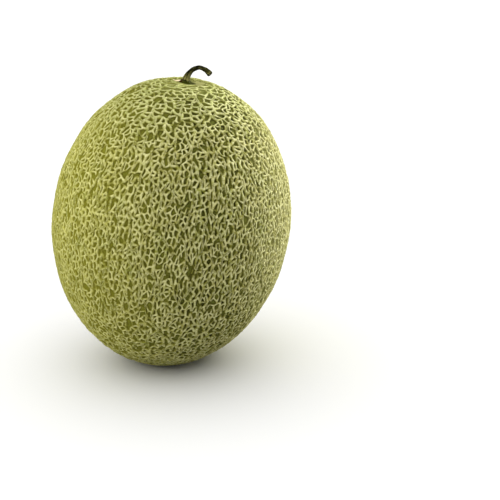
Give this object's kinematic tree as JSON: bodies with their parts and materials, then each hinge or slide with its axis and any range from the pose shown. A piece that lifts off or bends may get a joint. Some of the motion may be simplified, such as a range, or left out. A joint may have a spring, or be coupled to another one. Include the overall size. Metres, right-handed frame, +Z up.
{
  "type": "cantaloupe melon",
  "caption": "Whole netted cantaloupe: an ovoid fruit with a raised corky net, resting on a small flat spot, with a short curved dry stem.",
  "frame": {"origin": "middle of the small flat spot at the blossom end that the melon rests on, at table height", "axes": "+Z up from the table, near the fruit's long axis; the stem end leans 9 degrees towards +X; -Y is the side that faces the viewer"},
  "size_m": [0.1512, 0.1507, 0.1901],
  "materials": {
    "rind": "satin",
    "net": "matte",
    "stem": "matte"
  },
  "bodies": {
    "root": {"fruit": "rind", "stem": "stem"}
  },
  "joints": []
}
